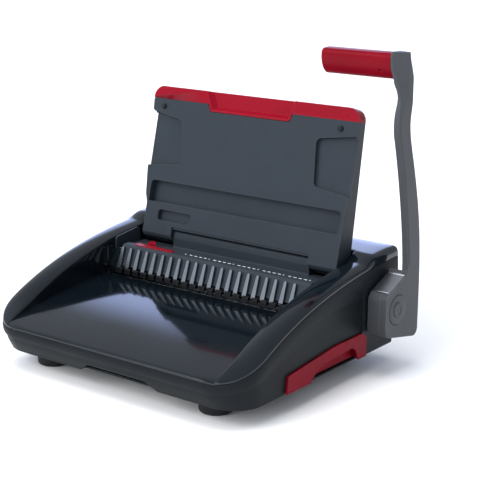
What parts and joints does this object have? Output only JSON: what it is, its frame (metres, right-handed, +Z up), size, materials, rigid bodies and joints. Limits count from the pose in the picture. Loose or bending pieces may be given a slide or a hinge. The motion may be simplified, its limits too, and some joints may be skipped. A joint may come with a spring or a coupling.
{
  "type": "comb binding machine",
  "caption": "Desk-top comb punch and binder: winged tray, row of steel fingers, hinged lid, side lever with a hand grip, and a sideways chip drawer.",
  "frame": {"origin": "centre of the footprint, on the table", "axes": "+X along the punch row towards the lever side, +Y to the back, +Z up"},
  "size_m": [0.438, 0.344, 0.408],
  "materials": {
    "charcoal_plastic": "fine-grained satin moulding",
    "gloss_black": "polished blue-black moulding",
    "lid_grey": "satin grey moulding",
    "red_plastic": "semi-gloss red moulding",
    "red_grip": "soft satin red",
    "red_drawer": "satin dark red moulding",
    "lever_metal": "metallic grey paint on a casting",
    "finger_steel": "stamped and tumbled",
    "tool_steel": "ground",
    "plated_steel": "zinc plated",
    "black_steel": "black oxide",
    "rubber": "matte",
    "brass": "turned",
    "natural_nylon": "smooth",
    "print_white": "pad-printed ink"
  },
  "bodies": {
    "root": {"lower_housing": "charcoal_plastic", "top_cover": "gloss_black", "punch_deck": "lid_grey", "base_plate": "charcoal_plastic", "foot_pads": "rubber", "chassis_plate": "plated_steel", "side_frame_left": "plated_steel", "side_frame_right": "plated_steel", "die_plate": "tool_steel", "stripper_plate": "black_steel", "depth_stop": "plated_steel", "comb_fingers": "finger_steel", "scale_strip": "print_white", "chip_chute": "charcoal_plastic", "guide_posts": "tool_steel", "rocker_shaft": "tool_steel", "shaft_bushes": "brass", "hook_guides": "natural_nylon", "lid_hinge_pins": "tool_steel", "case_screws": "plated_steel", "frame_screws": "plated_steel", "return_springs": "tool_steel"},
    "lid": {"lid_shell": "lid_grey", "lid_panel": "lid_grey", "lid_trim": "red_plastic", "lid_bumpers": "rubber", "lid_screws": "plated_steel"},
    "opener": {"opener_collars": "plated_steel", "collar_pins": "tool_steel"},
    "lever": {"lever_arm": "lever_metal", "lever_hub": "lever_metal", "hub_cap": "lever_metal", "grip": "red_grip", "grip_core": "tool_steel", "drive_shaft": "tool_steel", "punch_cams": "tool_steel", "shaft_clip": "plated_steel"},
    "hooks": {"hook_plate": "black_steel"},
    "ram": {"ram_bar": "plated_steel", "punch_pins": "tool_steel", "ram_pins": "tool_steel"},
    "rockers": {"rocker_arms": "plated_steel", "rocker_rollers": "tool_steel"},
    "guide": {"edge_guide": "red_plastic", "guide_tab": "red_plastic"},
    "drawer": {"chip_drawer": "charcoal_plastic", "drawer_front": "red_drawer"}
  },
  "joints": [
    {"name": "lid_hinge", "type": "hinge", "parent": "root", "child": "lid", "pos_m": [-0.021, 0.0877, 0.136], "axis": [1, 0, 0], "range_deg": [0, 111]},
    {"name": "lever_open", "type": "hinge", "parent": "root", "child": "opener", "pos_m": [-0.021, 0.118, 0.086], "axis": [1, 0, 0], "range_deg": [-25, 0]},
    {"name": "lever_punch", "type": "hinge", "parent": "opener", "child": "lever", "pos_m": [-0.021, 0.118, 0.086], "axis": [1, 0, 0], "range_deg": [0, 80], "stiffness_Nm_per_rad": 1.8, "springref_deg": -20.05},
    {"name": "hook_slide", "type": "slide", "parent": "root", "child": "hooks", "axis": [0, -1, 0], "range_m": [0, 0.0082]},
    {"name": "ram_slide", "type": "slide", "parent": "root", "child": "ram", "axis": [0, 0, -1], "range_m": [0, 0.01], "deforming": ["return_springs"]},
    {"name": "rocker_swing", "type": "hinge", "parent": "root", "child": "rockers", "pos_m": [-0.021, 0.08, 0.1075], "axis": [1, 0, 0], "range_deg": [0, 17.77]},
    {"name": "guide_slide", "type": "slide", "parent": "root", "child": "guide", "axis": [1, 0, 0], "range_m": [-0.002, 0.012]},
    {"name": "drawer_slide", "type": "slide", "parent": "root", "child": "drawer", "axis": [1, 0, 0], "range_m": [0, 0.2]}
  ],
  "couplings": [
    {"joint": "hook_slide", "follows": "lever_open", "m_per_rad": -0.0184},
    {"joint": "ram_slide", "follows": "lever_punch", "m_per_rad": 0.00716},
    {"joint": "rocker_swing", "follows": "lever_punch", "ratio": 0.2221}
  ]
}
